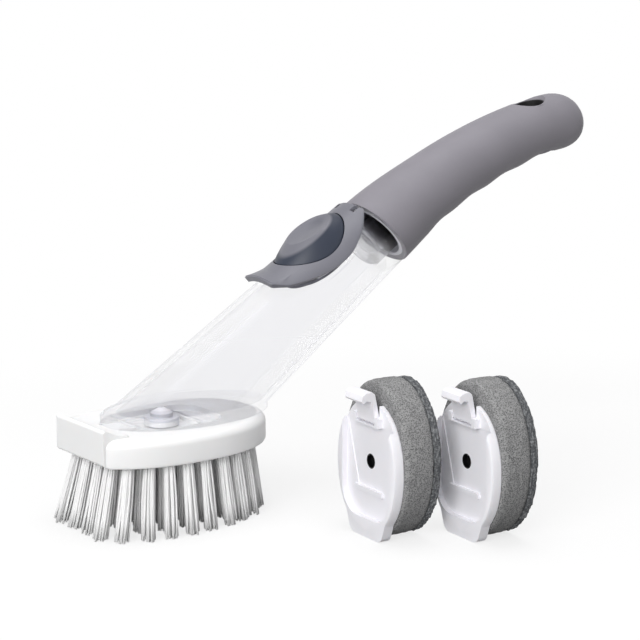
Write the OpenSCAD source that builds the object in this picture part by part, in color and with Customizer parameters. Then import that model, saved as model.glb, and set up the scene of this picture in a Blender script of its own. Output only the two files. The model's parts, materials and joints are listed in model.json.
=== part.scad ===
// Dish wand: a soap-dispensing washing-up wand with a clip-on brush head and two spare sponge heads.
// The wand stands on its bristles, toe towards -X and handle tip towards +X, and +Z is up.
// Lengths are in millimetres. Tube places are given as t, along the tube's axis from the foot,
// and n, square to that axis on the button's side.

/* [Brush head] */
// Length of the oval head plate, before its toe is cut off
head_l = 80; // [76:1:90]
// Width of the oval head plate
head_w = 56; // [52:1:64]
// Height of the head plate
plate_h = 10.5; // [9.5:0.5:14]
// How far the flat toe facet is cut back from the oval's end
toe_cut = 6.4; // [5.8:0.2:7]
// Fullness of the head plate's oval: 2 is a true ellipse, more is squarer
head_full = 2.25; // [2:0.05:2.5]
// Radius of the head plate's top edge
edge_r = 3.2; // [1.5:0.1:4]
// Length of the bristles below the plate
bristle_l = 26; // [18:1:32]
// Radius of a tuft where it leaves the plate
tuft_r = 1.9; // [1.5:0.05:2.2]
// How much wider a tuft's radius is at its tips
tuft_flare = 0.9; // [0.2:0.05:1]
// Depth of a tuft's hole in the plate
tuft_depth = 4.1; // [3:0.1:4.6]
// Distance between tufts along a row
tuft_pitch = 7.4; // [6.8:0.1:10]
// Distance between rows of tufts
tuft_row = 8.2; // [7.4:0.1:9]
// Outward lean of the outermost tufts, in degrees
tuft_lean = 8; // [0:1:10]
// Further lean of the tufts at the toe, in degrees
toe_lean = 12; // [0:1:12]

/* [Head coupling] */
// Width of the pocket that takes the foot's shoe
pocket_w = 29.8; // [28:0.2:31]
// Depth of the pocket
pocket_depth = 2.2; // [2:0.1:2.4]
// Place of the pocket's rounded heel end, from the soap hole
pocket_heel = 20.4; // [19:0.1:21]
// Place of the pocket's toe end, from the soap hole
pocket_toe = 13.6; // [12.6:0.1:14]
// Clearance between the shoe and its pocket
shoe_gap = 0.3; // [0.2:0.05:0.5]
// Radius of the soap hole in a head plate
soap_hole_r = 2.3; // [1.8:0.1:2.8]
// Width of the release tab's stem
stem_w = 11; // [9:0.5:14]
// Thickness of the release tab's stem
stem_t = 2; // [1.6:0.1:2.1]
// Radius of the release tab's root
root_r = 1; // [0.8:0.05:1.05]
// Width of the brush head's thumb lip
lip_w = 33; // [31:0.5:33]
// Height of the thumb lip above the plate
lip_h = 3.1; // [2:0.1:5]
// Gap round the release tab
tab_gap = 0.35; // [0.25:0.05:0.6]

/* [Reservoir] */
// Angle of the tube above the floor
tube_tilt = 34; // [32:0.5:36]
// Outer radius of the tube at its foot
tube_r0 = 18.9; // [18.4:0.1:19.6]
// Outer radius of the tube at the handle's mouth
tube_r1 = 14.9; // [14.6:0.1:15.4]
// Wall of the tube
tank_wall = 2; // [1.6:0.1:2.4]
// Where the tube's axis meets the top of the head plate
foot_x = 9.2; // [8:0.2:10]
// Length of the tube from foot to shoulder
tube_l = 105.3; // [104.5:0.1:106]
// Height of the foot flange
flange_h = 2.8; // [2:0.1:3.4]
// How far the foot flange stands out past the tube
flange_out = 1.7; // [1:0.1:2]
// Thickness of the tank's floor above the head plate
floor_h = 3.4; // [3:0.1:4]
// Outer radius of the neck inside the handle
neck_r = 11.4; // [11:0.1:11.6]
// Length of the neck
neck_l = 13; // [11:0.5:15]
// Radius of the neck's bore
neck_bore_r = 9.6; // [9:0.1:9.8]
// Height of the raised seat round the filler mouth
seat_h = 0.25; // [0.15:0.05:0.3]
// Radius of the soap outlet
outlet_r = 4.2; // [3.8:0.1:4.6]
// Radius of the outlet valve's rim
valve_r = 6.3; // [5.8:0.1:7]

/* [Filler lid] */
// Distance from the tube's shoulder back to the middle of the lid
lid_t = 25.3; // [24.8:0.1:25.8]
// Half length of the lid's oval towards the lip
lid_front = 31; // [30:0.5:32]
// Half length of the lid's oval towards the handle
lid_rear = 25.5; // [25:0.5:26.5]
// Half width of the lid
lid_hw = 15.6; // [15.2:0.1:15.9]
// Distance from the tube's shoulder back to the end of the lid's lip
lip_t = 52.3; // [50.3:0.1:53.3]
// Gap between the lid and the seat
lid_gap = 0.2; // [0.15:0.05:0.3]
// Thickness of the lid
lid_thick = 1.65; // [1.4:0.05:1.9]
// How far the lip turns up off the tube
lip_rise = 2.5; // [1.2:0.05:2.8]
// Wall of the button's well under the lid
well_wall = 1; // [0.8:0.1:1.2]
// Height of the well's underside above the tube's axis
well_n = 8; // [7.8:0.1:8.4]
// Radius of the hinge pin
pin_r = 0.8; // [0.7:0.05:0.9]
// Running clearance of the hinge pin
pin_gap = 0.05; // [0.02:0.01:0.1]
// Radius of the hinge barrel
barrel_r = 1.6; // [1.45:0.05:1.65]
// Width of the hinge barrel
barrel_w = 8; // [7:0.5:9]

/* [Push button] */
// Half length of the button at its base
button_hl = 15.5; // [14.8:0.1:15.6]
// Half width of the button at its base
button_hw = 11.9; // [11.2:0.1:12]
// Height of the button's top above the tube's axis
button_top = 20.7; // [20.4:0.1:21.6]
// Half length of the button's top
top_hl = 10; // [8.5:0.1:11.5]
// Half width of the button's top
top_hw = 7.1; // [6:0.1:7.6]
// Lean of the button's top towards the handle, in degrees
top_lean = 4.6; // [3:0.1:7]
// Gap between the button and the lid
button_gap = 0.45; // [0.3:0.05:0.6]
// Travel of the button
button_travel = 3; // [1.5:0.5:3]
// Radius of the button's stem
stem_r = 2.6; // [2:0.1:3]
// Wall of the button
button_wall = 1.6; // [1.2:0.1:2]
// Mean radius of the return spring
spring_r = 4.6; // [4.4:0.1:5.4]
// Radius of the spring's wire
wire_r = 0.4; // [0.3:0.05:0.5]
// Turns of the spring
spring_turns = 5; // [3:1:6]
// Thickness of the pump diaphragm
diaphragm_t = 0.9; // [0.6:0.1:1]

/* [Handle] */
// Length of the handle along its curve
handle_l = 110; // [106:1:116]
// Radius of the handle's curve
handle_curve = 240; // [215:5:280]
// Radius of the handle at its mouth
mouth_r = 15.5; // [15.3:0.1:16.2]
// Radius of the handle just past its mouth
grip_r = 14.1; // [13.6:0.1:14.6]
// Radius of the handle near its end
end_r = 11.5; // [11:0.1:12.4]
// Wall of the soft grip
grip_wall = 2.4; // [1.8:0.1:2.6]
// Wall of the handle's core
core_wall = 2.1; // [1.6:0.1:2.4]
// Depth of the finger grooves
groove_d = 0.8; // [0:0.1:1.4]
// Distance between finger grooves
groove_pitch = 19.4; // [17:0.2:21]
// Radius of the hanging hole
hang_r = 5.6; // [4:0.1:5.8]
// Distance of the hanging hole from the handle's tip, along the curve
hang_back = 23; // [21:1:28]

/* [Spare sponge heads] */
// Length of a sponge
sponge_l = 56.4; // [56:0.2:62]
// Width of a sponge
sponge_w = 41.2; // [40:0.2:48]
// Thickness of the soft foam
foam_t = 11.8; // [9:0.2:18]
// Thickness of the scouring layer
scour_t = 2.6; // [1.6:0.1:4]
// Width of a spare head's plate
spare_w = 37.8; // [36.6:0.2:40]
// Thickness of a spare head's plate
spare_t = 4.2; // [4:0.1:5.2]
// Width of a spare head's squared heel
heel_w = 22; // [20:0.5:26]
// Turn of the spare heads about the upright, in degrees
spare_turn = -4.6; // [-20:0.1:10]
// Place of the first spare head from the brush's soap hole, along X
spare_x = 42.9; // [42:0.1:90]
// Place of the first spare head from the brush's soap hole, along Y
spare_y = -65; // [-120:0.5:-58]
// Step from the first spare head to the second, along X
spare_dx = 27.2; // [24:0.2:60]
// Step from the first spare head to the second, along Y
spare_dy = -19.7; // [-60:0.1:0]

/* [Hidden] */

fine = 96;
eps = 0.01;
head_a = head_l / 2;
head_b = head_w / 2;
toe_x = head_a - toe_cut;
plate_top = bristle_l + plate_h;
// Flange of the tank's foot: its middle and half sizes
flange_x = foot_x + 0.7;
flange_a = tube_r0 / sin(tube_tilt) - 0.3;
flange_b = tube_r0 + flange_out;
// Place of the release tab's root, thumb pad and lip, from the soap hole
root_x = -pocket_toe - root_r - 0.8;
root_z = -0.4 - root_r;
pad_x = flange_x - flange_a - 0.8;
lip_x = -toe_x - 0.4;
// Spare heads: the lip's place, the shift of the sponge, and the plate's oval and toe
spare_lip_x = -26.2;
sponge_shift = -0.8;
spare_toe = -21.4;
spare_a = 24;
spare_mid = 2;
rail_x = -17;
// Catch bar across the pocket and its shallow wedge
bar_x = 9.8;
bar_w = 1.6;
bar_h = 0.9;
bar_half = 8.8;
wedge_d = 0.35;
corner_r = 9.5;
spare_heel = sponge_l / 2 + sponge_shift;
well_depth = 8;
// Margins of the outer row of tufts inside the oval, and from the toe facet
margin_l = 5.6;
margin_w = 5.2;
margin_toe = 6;

// Tube
taper_end = 2.7;
taper = (tube_r0 - tube_r1) / (tube_l + taper_end);
neck_end = tube_l + neck_l;
cavity_end = tube_l - 8.3;

// Filler mouth, lid and button
lid_mid = tube_l - lid_t;
lip_end = tube_l - lip_t;
lip_run = 6;
button_t = tube_l - 26;
top_t = tube_l - 23.8;
well_hl = button_hl + button_gap;
well_hw = button_hw + button_gap;
mouth_front = 1.7;
mouth_side = 0.8;
mouth_ledge = 6;
lid_end_t = tube_l - 3.3;
seat_out = 1.9;
over_lid = seat_h + lid_gap + lid_thick;
hinge_t = tube_l - 5.1;
hinge_n = tube_r(hinge_t) + over_lid - barrel_r - 0.55;
ear_r = 1.35;
ear_w = 1.6;
ear_gap = 0.25;
relief_r = 3.1;
relief_w = 18.4;
well_floor = 1.5;
button_skirt_n = well_n + well_floor + button_travel + 0.35;

// Handle
handle_t = tube_l;
handle_n = 0;
handle_tilt = tube_tilt;
mouth_tilt = 7;
tip_round = 14;
tip_drop = 2.2;
hang_s = handle_l - hang_back;

// Where the whole set stands: its box is centred on the origin
tips = [for (p = row_places(0)) p * (1 + bristle_l * tan(lean_at(p)) / norm(p))];
low_x = min([for (p = tips) p[0]]) - tuft_r - tuft_flare;
high_x = handle_x(handle_l);
low_y = spare_y + spare_dy - sponge_w / 2 * cos(spare_turn)
    + (spare_t + foam_t + scour_t) * sin(spare_turn);
high_y = max([for (p = tips) p[1]]) + tuft_r + tuft_flare;
shift_x = -(low_x + high_x) / 2;
shift_y = -(low_y + high_y) / 2;

function tube_r(t) = tube_r0 - taper * t;
function tube_x(t, n) = foot_x + t * cos(tube_tilt) - n * sin(tube_tilt);
function tube_z(t, n) = plate_top + t * sin(tube_tilt) + n * cos(tube_tilt);
function clip(v, lo, hi) = max(lo, min(hi, v));
function ease(v) = let (u = clip(v, 0, 1)) u * u * (3 - 2 * u);
function ellipse_at(a, b, k) = [a * cos(k), b * sin(k)];
function full_at(a, b, k, e) = [a * sign(cos(k)) * pow(abs(cos(k)), 2 / e),
    b * sign(sin(k)) * pow(abs(sin(k)), 2 / e)];
function ellipse(a, b, sides = fine) = [for (i = [0 : sides - 1]) ellipse_at(a, b, 360 * i / sides)];

// Handle curve: s runs along it from the mouth
function handle_dir(s) = handle_tilt - s / handle_curve * 180 / PI;
function handle_x(s) = tube_x(handle_t, handle_n)
    + handle_curve * (sin(handle_tilt) - sin(handle_dir(s)));
function handle_z(s) = tube_z(handle_t, handle_n)
    + handle_curve * (cos(handle_dir(s)) - cos(handle_tilt)) - tip_drop * pow(clip((s - 84) / 26, 0, 1), 2);
function tip_factor(s) = let (u = clip((s - handle_l + tip_round) / tip_round, 0, 1))
    pow(1 - pow(u, 2.4), 1 / 2.4);
function handle_r(s) = (grip_r + (end_r - grip_r) * clip(s / (handle_l - 22), 0, 1)
    + (mouth_r - grip_r) * pow(1 - ease(s / 40), 1.5)) * tip_factor(s);
function groove(s) = groove_d * (0.5 + 0.5 * cos(360 * (s - 24) / groove_pitch))
    * ease((s - 12) / 10) * ease((handle_l - 14 - s) / 10);

// One ring of the handle at s, drawn in by inset
function handle_ring(s, inset, sides) = let (
        a = handle_dir(s) + mouth_tilt * (1 - ease(s / 24)),
        r = max(handle_r(s) - inset, 0.6),
        g = groove(s))
    [for (i = [0 : sides - 1]) let (
            k = 360 * i / sides,
            low = max(-cos(k), 0),
            v = r * cos(k) + g * low * low,
            y = r * sin(k))
        [handle_x(s) - v * sin(a), y, handle_z(s) + v * cos(a)]];

// Closed skin through a list of rings with equal counts of points
module loft(rings, loop = false) {
    m = len(rings);
    k = len(rings[0]);
    last = loop ? m - 1 : m - 2;
    sides = [for (i = [0 : last], j = [0 : k - 1]) let (
            a = i * k + j,
            b = i * k + (j + 1) % k,
            c = ((i + 1) % m) * k + (j + 1) % k,
            d = ((i + 1) % m) * k + j)
        each [[a, c, b], [a, d, c]]];
    caps = loop ? [] : [[for (j = [0 : k - 1]) j], [for (j = [k - 1 : -1 : 0]) (m - 1) * k + j]];
    polyhedron(points = [for (r = rings) each r], faces = concat(sides, caps), convexity = 8);
}

module in_wand() {
    translate([shift_x, shift_y, 0]) children();
}

// The head coupling's own frame: the soap hole's axis at the top of the head plate
module on_head() {
    in_wand() translate([0, 0, plate_top]) children();
}

module on_tube() {
    in_wand() translate([foot_x, 0, plate_top]) rotate([0, -tube_tilt, 0]) children();
}

module on_spare(copy) {
    in_wand() translate([spare_x + copy * spare_dx, spare_y + copy * spare_dy, spare_heel])
        rotate([0, 0, spare_turn]) rotate([0, 90, 180]) children();
}

// Length of tube from t0 to t1, with its surface moved out by off
module tube_cone(t0, t1, off) {
    translate([t0, 0, 0])
        rotate([0, 90, 0])
            cylinder(h = t1 - t0, r1 = tube_r(t0) + off, r2 = tube_r(t1) + off, $fn = fine);
}

module tube_rod(t0, t1, r) {
    translate([t0, 0, 0]) rotate([0, 90, 0]) cylinder(h = t1 - t0, r = r, $fn = fine);
}

module cross_rod(t, n, r, w) {
    translate([t, w / 2, n]) rotate([90, 0, 0]) cylinder(h = w, r = r, $fn = 48);
}

// Oval prism square to the tube, from n0 to n1
module tube_oval(t, hl, hw, n0, n1) {
    translate([t, 0, n0]) linear_extrude(n1 - n0) polygon(ellipse(hl, hw));
}

// Space above a level of the wand
module above(z) {
    in_wand() translate([-60, -60, z]) cube([320, 120, 200]);
}

// Where the tube stands: from the head plate up, and at its toe from inside the flange up
module foot_room() {
    above(plate_top + flange_h - 0.4);
    in_wand() translate([foot_x, -60, plate_top]) cube([260, 120, 200]);
}

// Pocket outline, widened by out: straight toe end and rounded heel corners
module pocket_shape(out, toe) {
    half = pocket_w / 2 + out;
    heel = pocket_heel + out;
    r = corner_r + out;
    union() {
        translate([toe, -half]) square([heel - r - toe, 2 * half]);
        translate([toe, -half + r]) square([heel - toe, 2 * half - 2 * r]);
        for (y = [-1, 1]) translate([heel - r, y * (half - r)]) circle(r = r, $fn = 64);
    }
}

// Pocket with its shallow wedge and the catch bar that the shoe's groove rides over
module pocket_cut() {
    wedge_half = pocket_w / 2 - 0.2;
    difference() {
        union() {
            translate([0, 0, -pocket_depth]) linear_extrude(20) pocket_shape(0, -pocket_toe);
            translate([0, 0, -pocket_depth - wedge_d]) linear_extrude(2 * wedge_d)
                polygon([[-pocket_toe, -wedge_half], [bar_x, -0.5 * wedge_half],
                    [bar_x, 0.5 * wedge_half], [-pocket_toe, wedge_half]]);
        }
        translate([bar_x, -bar_half, -pocket_depth - 1]) cube([bar_w, 2 * bar_half, 1 + bar_h]);
    }
}

module reservoir() {
    color([0.86, 0.88, 0.93, 0.35])
    difference() {
        union() {
            difference() {
                union() {
                    intersection() {
                        on_tube() tube_cone(-45, tube_l + 3, 0);
                        foot_room();
                    }
                    on_tube() seat_pad();
                }
                mouth_plane();
                on_tube() cross_rod(hinge_t, hinge_n, relief_r, relief_w);
            }
            on_head() foot_solid();
            on_tube() tube_rod(cavity_end, neck_end, neck_r);
            on_tube() hinge_ears();
        }
        intersection() {
            on_tube() tube_cone(-45, cavity_end, -tank_wall);
            above(plate_top + floor_h);
        }
        on_tube() tube_rod(cavity_end - 1, neck_end + 1, neck_bore_r);
        on_tube() mouth_hole();
        on_tube() cross_rod(hinge_t, hinge_n, pin_r + pin_gap, barrel_w + 2 * ear_w + 4);
        on_head() valve_hole();
        on_head() translate([bar_x - 0.4, -bar_half - 0.4, -pocket_depth])
            cube([bar_w + 0.8, 2 * bar_half + 0.8, bar_h + 0.4]);
    }
}

// Everything past the leaning plane where the handle's mouth meets the tube
module mouth_plane() {
    on_tube() translate([handle_t, 0, handle_n]) rotate([0, -mouth_tilt, 0])
        translate([-0.02, -40, -40]) cube([60, 80, 80]);
}

// Flange that rests on the head plate, its step and the shoe below it
module foot_solid() {
    translate([flange_x, 0, 0]) linear_extrude(flange_h) polygon(ellipse(flange_a, flange_b));
    translate([flange_x + 0.9, 0, 0])
        linear_extrude(flange_h + 1) polygon(ellipse(flange_a - 0.4, flange_b - 0.9));
    translate([0, 0, -pocket_depth + 0.1])
        linear_extrude(pocket_depth) pocket_shape(-shoe_gap, -pocket_toe + shoe_gap);
}

module valve_hole() {
    rim_top = 0.78;
    translate([0, 0, -pocket_depth - 1]) cylinder(h = pocket_depth + floor_h + 2, r = outlet_r, $fn = fine);
    translate([0, 0, -pocket_depth - 1])
        cylinder(h = pocket_depth + 1 + rim_top, r = valve_r + 0.15, $fn = fine);
}

// Thin raised land round the filler mouth
module seat_pad() {
    intersection() {
        tube_cone(lip_end + 2, tube_l - 1, seat_h);
        translate([0, 0, 0.5]) linear_extrude(30) lid_shape(seat_out);
    }
}

module mouth_hole() {
    hl = well_hl + well_wall;
    front = button_t - hl - mouth_front;
    rear = button_t + hl + mouth_side;
    tube_oval((front + rear) / 2, (rear - front) / 2, well_hw + well_wall + mouth_side,
        mouth_ledge, 30);
}

// Ears that carry the pin, standing in the relief
module hinge_ears() {
    on_neck = neck_r + 0.1;
    for (side = [-1, 1])
        translate([0, side * (barrel_w / 2 + ear_gap + ear_w / 2), 0]) {
            cross_rod(hinge_t, hinge_n, ear_r, ear_w);
            translate([hinge_t - ear_r, -ear_w / 2, on_neck - 2.4])
                cube([2 * ear_r, ear_w, hinge_n - on_neck + 2.4]);
        }
}

// Plan outline of the lid, widened by out
function lid_point(k, out) = let (a = cos(k) < 0 ? lid_front : lid_rear)
    [clip(lid_mid + (a + out) * cos(k), lip_end - out, lid_end_t + min(out, 0)), (lid_hw + out) * sin(k)];

module lid_shape(out) {
    polygon([for (i = [0 : fine - 1]) lid_point(360 * i / fine, out)]);
}

// A point on the tube's surface moved out by off, where the plan width y is read at the lid's top
function wrap(t, y, off) = let (
        top = tube_r(t) + seat_h + lid_gap + lid_thick,
        a = asin(clip(y / top, -1, 1)),
        r = tube_r(t) + off)
    [t, r * sin(a), r * cos(a)];

// A point on the tube's surface moved out by off, straight above the plan place t, y
function above_tube(t, y, off) = let (r = tube_r(t) + off) [t, y, sqrt(r * r - y * y)];
function lip_lift(t) = lip_rise * ease((lip_end + lip_run - t) / lip_run);

module filler_lid() {
    under = seat_h + lid_gap;
    over = over_lid;
    turns = [for (i = [0 : fine - 1]) 360 * i / fine];
    outer = [for (k = turns) lid_point(k, 0)];
    brim = [for (k = turns) lid_point(k, -0.7)];
    hole = [for (k = turns) [button_t + (well_hl - 0.7) * cos(k), (well_hw - 0.7) * sin(k)]];
    middle = 0.5 * (hole + brim);
    color([0.48, 0.48, 0.52])
    difference() {
        union() {
            on_tube() loft([
                [for (p = hole) above_tube(p[0], p[1], under)],
                [for (p = middle) wrap(p[0], p[1], under + 0.6 * lip_lift(p[0]))],
                [for (p = outer) wrap(p[0], p[1], under + 0.6 * lip_lift(p[0]))],
                [for (p = outer) wrap(p[0], p[1], over - 0.4 + lip_lift(p[0]))],
                [for (p = brim) wrap(p[0], p[1], over + lip_lift(p[0]))],
                [for (p = middle) wrap(p[0], p[1], over + lip_lift(p[0]))],
                [for (p = hole) above_tube(p[0], p[1], over)]], loop = true);
            on_tube() difference() {
                tube_oval(button_t, well_hl + well_wall, well_hw + well_wall, well_n, 30);
                tube_cone_far(under + 0.3);
            }
            on_tube() cross_rod(hinge_t, hinge_n, barrel_r, barrel_w);
            on_tube() hinge_web();
        }
        on_tube() tube_oval(button_t, well_hl, well_hw, well_n + well_floor, 40);
        on_tube() translate([button_t, 0, 0]) cylinder(h = 30, r = stem_r + 0.35, $fn = 48);
        on_tube() cross_rod(hinge_t, hinge_n, pin_r + pin_gap, barrel_w + 2);
        on_tube() ear_notches();
    }
}

// Notches in the lid's neck for the ears
module ear_notches() {
    w = ear_w + 2 * ear_gap;
    for (side = [-1, 1])
        translate([hinge_t - ear_r - 0.35, side * (barrel_w / 2 + w / 2) - w / 2, hinge_n - 6])
            cube([10, w, 12]);
}

// Everything outside the tube's surface moved out by off
module tube_cone_far(off) {
    difference() {
        translate([lip_end, -30, 0]) cube([tube_l - lip_end, 60, 40]);
        tube_cone(lip_end - 10, tube_l + 10, off);
    }
}

// Rib that joins the hinge barrel to the underside of the lid's neck
module hinge_web() {
    intersection() {
        translate([hinge_t - 2.6, -barrel_w / 2, hinge_n - 0.8]) cube([2.8, barrel_w, 4]);
        tube_cone(button_t, lid_end_t, over_lid - 0.1);
    }
}

// Seal round the well, just inside the filler mouth
module lid_gasket() {
    color([0.9, 0.9, 0.92])
    on_tube() difference() {
        intersection() {
            tube_oval(button_t, well_hl + well_wall + 0.55, well_hw + well_wall + 0.55,
                mouth_ledge + 2.8, 30);
            tube_cone(lip_end, tube_l + 5, seat_h - 0.05);
        }
        tube_oval(button_t, well_hl + well_wall + 0.02, well_hw + well_wall + 0.02, 0, 40);
        tube_cone(lip_end, tube_l + 5, -tank_wall + 0.2);
    }
}

module hinge_pin() {
    color("silver") on_tube() cross_rod(hinge_t, hinge_n, pin_r, barrel_w + 2 * ear_gap + 2 * ear_w - 0.2);
}

// Height of the button's foot at angle k, where it meets the lid
function foot_n(k) = above_tube(button_t + button_hl * cos(k), button_hw * sin(k), over_lid - 0.1)[2];
function flat_ring(hl, hw, n) = [for (k = turns64) [button_t + hl * cos(k), hw * sin(k), n]];
turns64 = [for (i = [0 : 63]) 360 * i / 64];

// Oval ring on the leaning top, grown by g and moved along the tube's normal by dn
function top_point(k, g, dn) = [top_t + g * top_hl * cos(k) * cos(top_lean), g * top_hw * sin(k),
    button_top + dn - g * top_hl * cos(k) * sin(top_lean)];

// Ring on the button's side, u of the way from its foot to its top
function side_point(k, u) = let (
        foot = [button_t + button_hl * cos(k), button_hw * sin(k), foot_n(k)],
        top = top_point(k, 1.06, -0.3),
        swell = 0.5 * sin(180 * u))
    foot + (top - foot) * u + [swell * cos(k), swell * sin(k), 0];

module push_button() {
    w = button_wall;
    inner_hl = button_hl - w;
    inner_hw = button_hw - w;
    color([0.36, 0.37, 0.42])
    on_tube() {
        loft([
            [for (k = turns64) top_point(k, 0.05, -2.2)],
            [for (k = turns64) top_point(k, 0.8, -2.2)],
            [for (k = turns64) [button_t + inner_hl * cos(k), inner_hw * sin(k),
                max(foot_n(k) - 1.1, button_skirt_n + 0.4)]],
            flat_ring(inner_hl, inner_hw, button_skirt_n),
            flat_ring(button_hl, button_hw, button_skirt_n),
            [for (k = turns64) side_point(k, 0)],
            [for (k = turns64) side_point(k, 0.3)],
            [for (k = turns64) side_point(k, 0.62)],
            [for (k = turns64) side_point(k, 0.9)],
            [for (k = turns64) top_point(k, 1.06, -0.3)],
            [for (k = turns64) top_point(k, 0.985, 0.04)],
            [for (k = turns64) top_point(k, 0.9, 0)],
            [for (k = turns64) top_point(k, 0.6, -0.42)],
            [for (k = turns64) top_point(k, 0.05, -0.6)]]);
        translate([button_t, 0, well_n - 0.2]) cylinder(h = button_top - 1.6 - well_n, r = stem_r, $fn = 48);
    }
}

// Coil spring between the well's floor and the button
module button_spring() {
    n0 = well_n + well_floor + wire_r + 0.05;
    n1 = button_top - 2.2 - wire_r - 1.05;
    steps = 20 * spring_turns;
    pitch = (n1 - n0) / spring_turns;
    tilt = atan(pitch / (2 * PI * spring_r));
    rings = [for (i = [0 : steps]) let (
            a = 360 * i / 20,
            n = n0 + (n1 - n0) * i / steps)
        [for (j = [0 : 7]) let (
                u = wire_r * cos(45 * j),
                v = -wire_r * sin(45 * j))
            [button_t + (spring_r + u) * cos(a) + v * sin(tilt) * sin(a),
             (spring_r + u) * sin(a) - v * sin(tilt) * cos(a),
             n + v * cos(tilt)]]];
    color("silver") on_tube() loft(rings);
}

module pump_diaphragm() {
    rim_n = well_n - diaphragm_t - 0.05;
    color([0.88, 0.88, 0.9])
    on_tube() translate([button_t, 0, rim_n]) {
        difference() {
            linear_extrude(diaphragm_t) polygon(ellipse(button_hl - 2, button_hw - 1.2));
            translate([0, 0, -eps]) cylinder(h = 3, r = 6.2, $fn = 64);
        }
        rotate_extrude($fn = 64)
            polygon([[0, 0], [3.1, 0], [4.3, -1.7], [5.6, -1.7], [6.9, 0], [6.9, diaphragm_t],
                [6.2, diaphragm_t], [5.3, -0.9], [4.7, -0.9], [3.5, 0.7], [0, 0.7]]);
    }
}

module diaphragm_ring() {
    color([0.48, 0.48, 0.52])
    on_tube() translate([button_t, 0, well_n - diaphragm_t - 0.1 - 1.1])
        linear_extrude(1.1) difference() {
            polygon(ellipse(button_hl - 2.2, button_hw - 1.5));
            polygon(ellipse(button_hl - 5, button_hw - 4.2));
        }
}

module outlet_valve() {
    color([0.88, 0.88, 0.9])
    on_head() rotate_extrude($fn = 64)
        polygon([[0.5, 0.95], [1.2, -0.3], [valve_r, -0.3], [valve_r, 0.72], [outlet_r - 0.15, 0.72],
                [outlet_r - 0.15, 2.2], [0.9, 4], [0.5, 4]]);
}

module valve_retainer() {
    color([0.92, 0.92, 0.94])
    on_head() translate([0, 0, -pocket_depth + 0.1])
        difference() {
            cylinder(h = pocket_depth - 0.45, r = valve_r + 0.1, $fn = 64);
            translate([0, 0, -1]) cylinder(h = 5, r = soap_hole_r + 0.6, $fn = 64);
        }
}

// Clear cup that closes the top of the tank, with a groove for its seal
module tank_end_plug() {
    nose = 0.5;
    r = neck_bore_r - 0.05;
    end = neck_end - cavity_end + nose;
    seal = end - 5;
    color([0.8, 0.82, 0.87, 0.6])
    on_tube() translate([cavity_end - nose, 0, 0]) rotate([0, 90, 0])
        rotate_extrude($fn = fine)
            polygon([[0, 0], [r - 0.8, 0], [r, 0.8], [r, seal - 1], [r - 1.6, seal - 1],
                [r - 1.6, seal + 1], [r, seal + 1], [r, end], [r - 3, end], [r - 3, 3.4],
                [r - 4.6, 2.2], [0, 2.2]]);
}

module plug_o_ring() {
    color([0.15, 0.15, 0.16])
    on_tube() translate([neck_end - 5, 0, 0]) rotate([0, 90, 0])
        rotate_extrude($fn = fine) translate([neck_bore_r - 0.82, 0]) circle(r = 0.78, $fn = 32);
}

// Moulded core: hollow from the mouth, solid round the hanging hole
module handle_core() {
    skin = grip_wall + 0.06;
    hollow = skin + core_wall;
    s_in = 66;
    s_out = handle_l - grip_wall - 1;
    outer = [for (i = [0 : 24]) let (s = s_out - (s_out - 0.05) * i / 24)
        handle_ring(s, skin, 32)];
    inner = [for (i = [0 : 14]) let (s = 0.05 + (s_in - 0.05) * i / 14)
        handle_ring(s, max(hollow, handle_r(s) - neck_r + 1), 32)];
    color([0.3, 0.3, 0.34])
    difference() {
        in_wand() loft(concat(outer, inner));
        on_tube() tube_rod(tube_l - 6, neck_end + 0.4, neck_r + 0.1);
        hang_bore(hang_r + 1.1, 40);
    }
}

module handle_grip() {
    s_in = handle_l - grip_wall - 0.6;
    outer = [for (i = [0 : 44]) let (s = handle_l * (1 - pow(1 - (44 - i) / 44, 1.25)))
        handle_ring(s, 0, 40)];
    inner = [for (i = [0 : 24]) handle_ring(s_in * i / 24, grip_wall, 40)];
    color([0.5, 0.49, 0.54])
    difference() {
        union() {
            in_wand() loft(concat(outer, inner));
            hang_bore(hang_r + 1, 2 * (end_r - grip_wall) + 1.2);
        }
        hang_bore(hang_r, 60);
        hang_flare(1);
        hang_flare(-1);
    }
}

// Frame of the hanging hole, square to the handle's curve
module at_hang() {
    in_wand() translate([handle_x(hang_s), 0, handle_z(hang_s)])
        rotate([0, -handle_dir(hang_s), 0]) children();
}

module hang_bore(r, h) {
    at_hang() translate([0, 0, -h / 2]) cylinder(h = h, r = r, $fn = fine);
}

// Rounded lip of the hanging hole
module hang_flare(side) {
    at_hang() mirror([0, 0, side < 0 ? 1 : 0]) translate([0, 0, end_r - 2.2])
        cylinder(h = 4, r1 = hang_r, r2 = hang_r + 3, $fn = fine);
}

// Outline of a plate at height z: a full oval with a flat toe, drawn in by inset
function plate_ring(z, inset, a, b, mid, toe, e, sides = 96) = [for (i = [0 : sides - 1])
    let (p = full_at(a - inset, b - inset, 360 * i / sides, e))
    [max(p[0] + mid, toe + inset * 0.8), p[1], z]];

// Plate with rounded edges, from [height, inset] steps
module rounded_plate(steps, a, b, mid, toe, e) {
    loft([for (p = steps) plate_ring(p[0], p[1], a, b, mid, toe, e)]);
}

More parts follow.
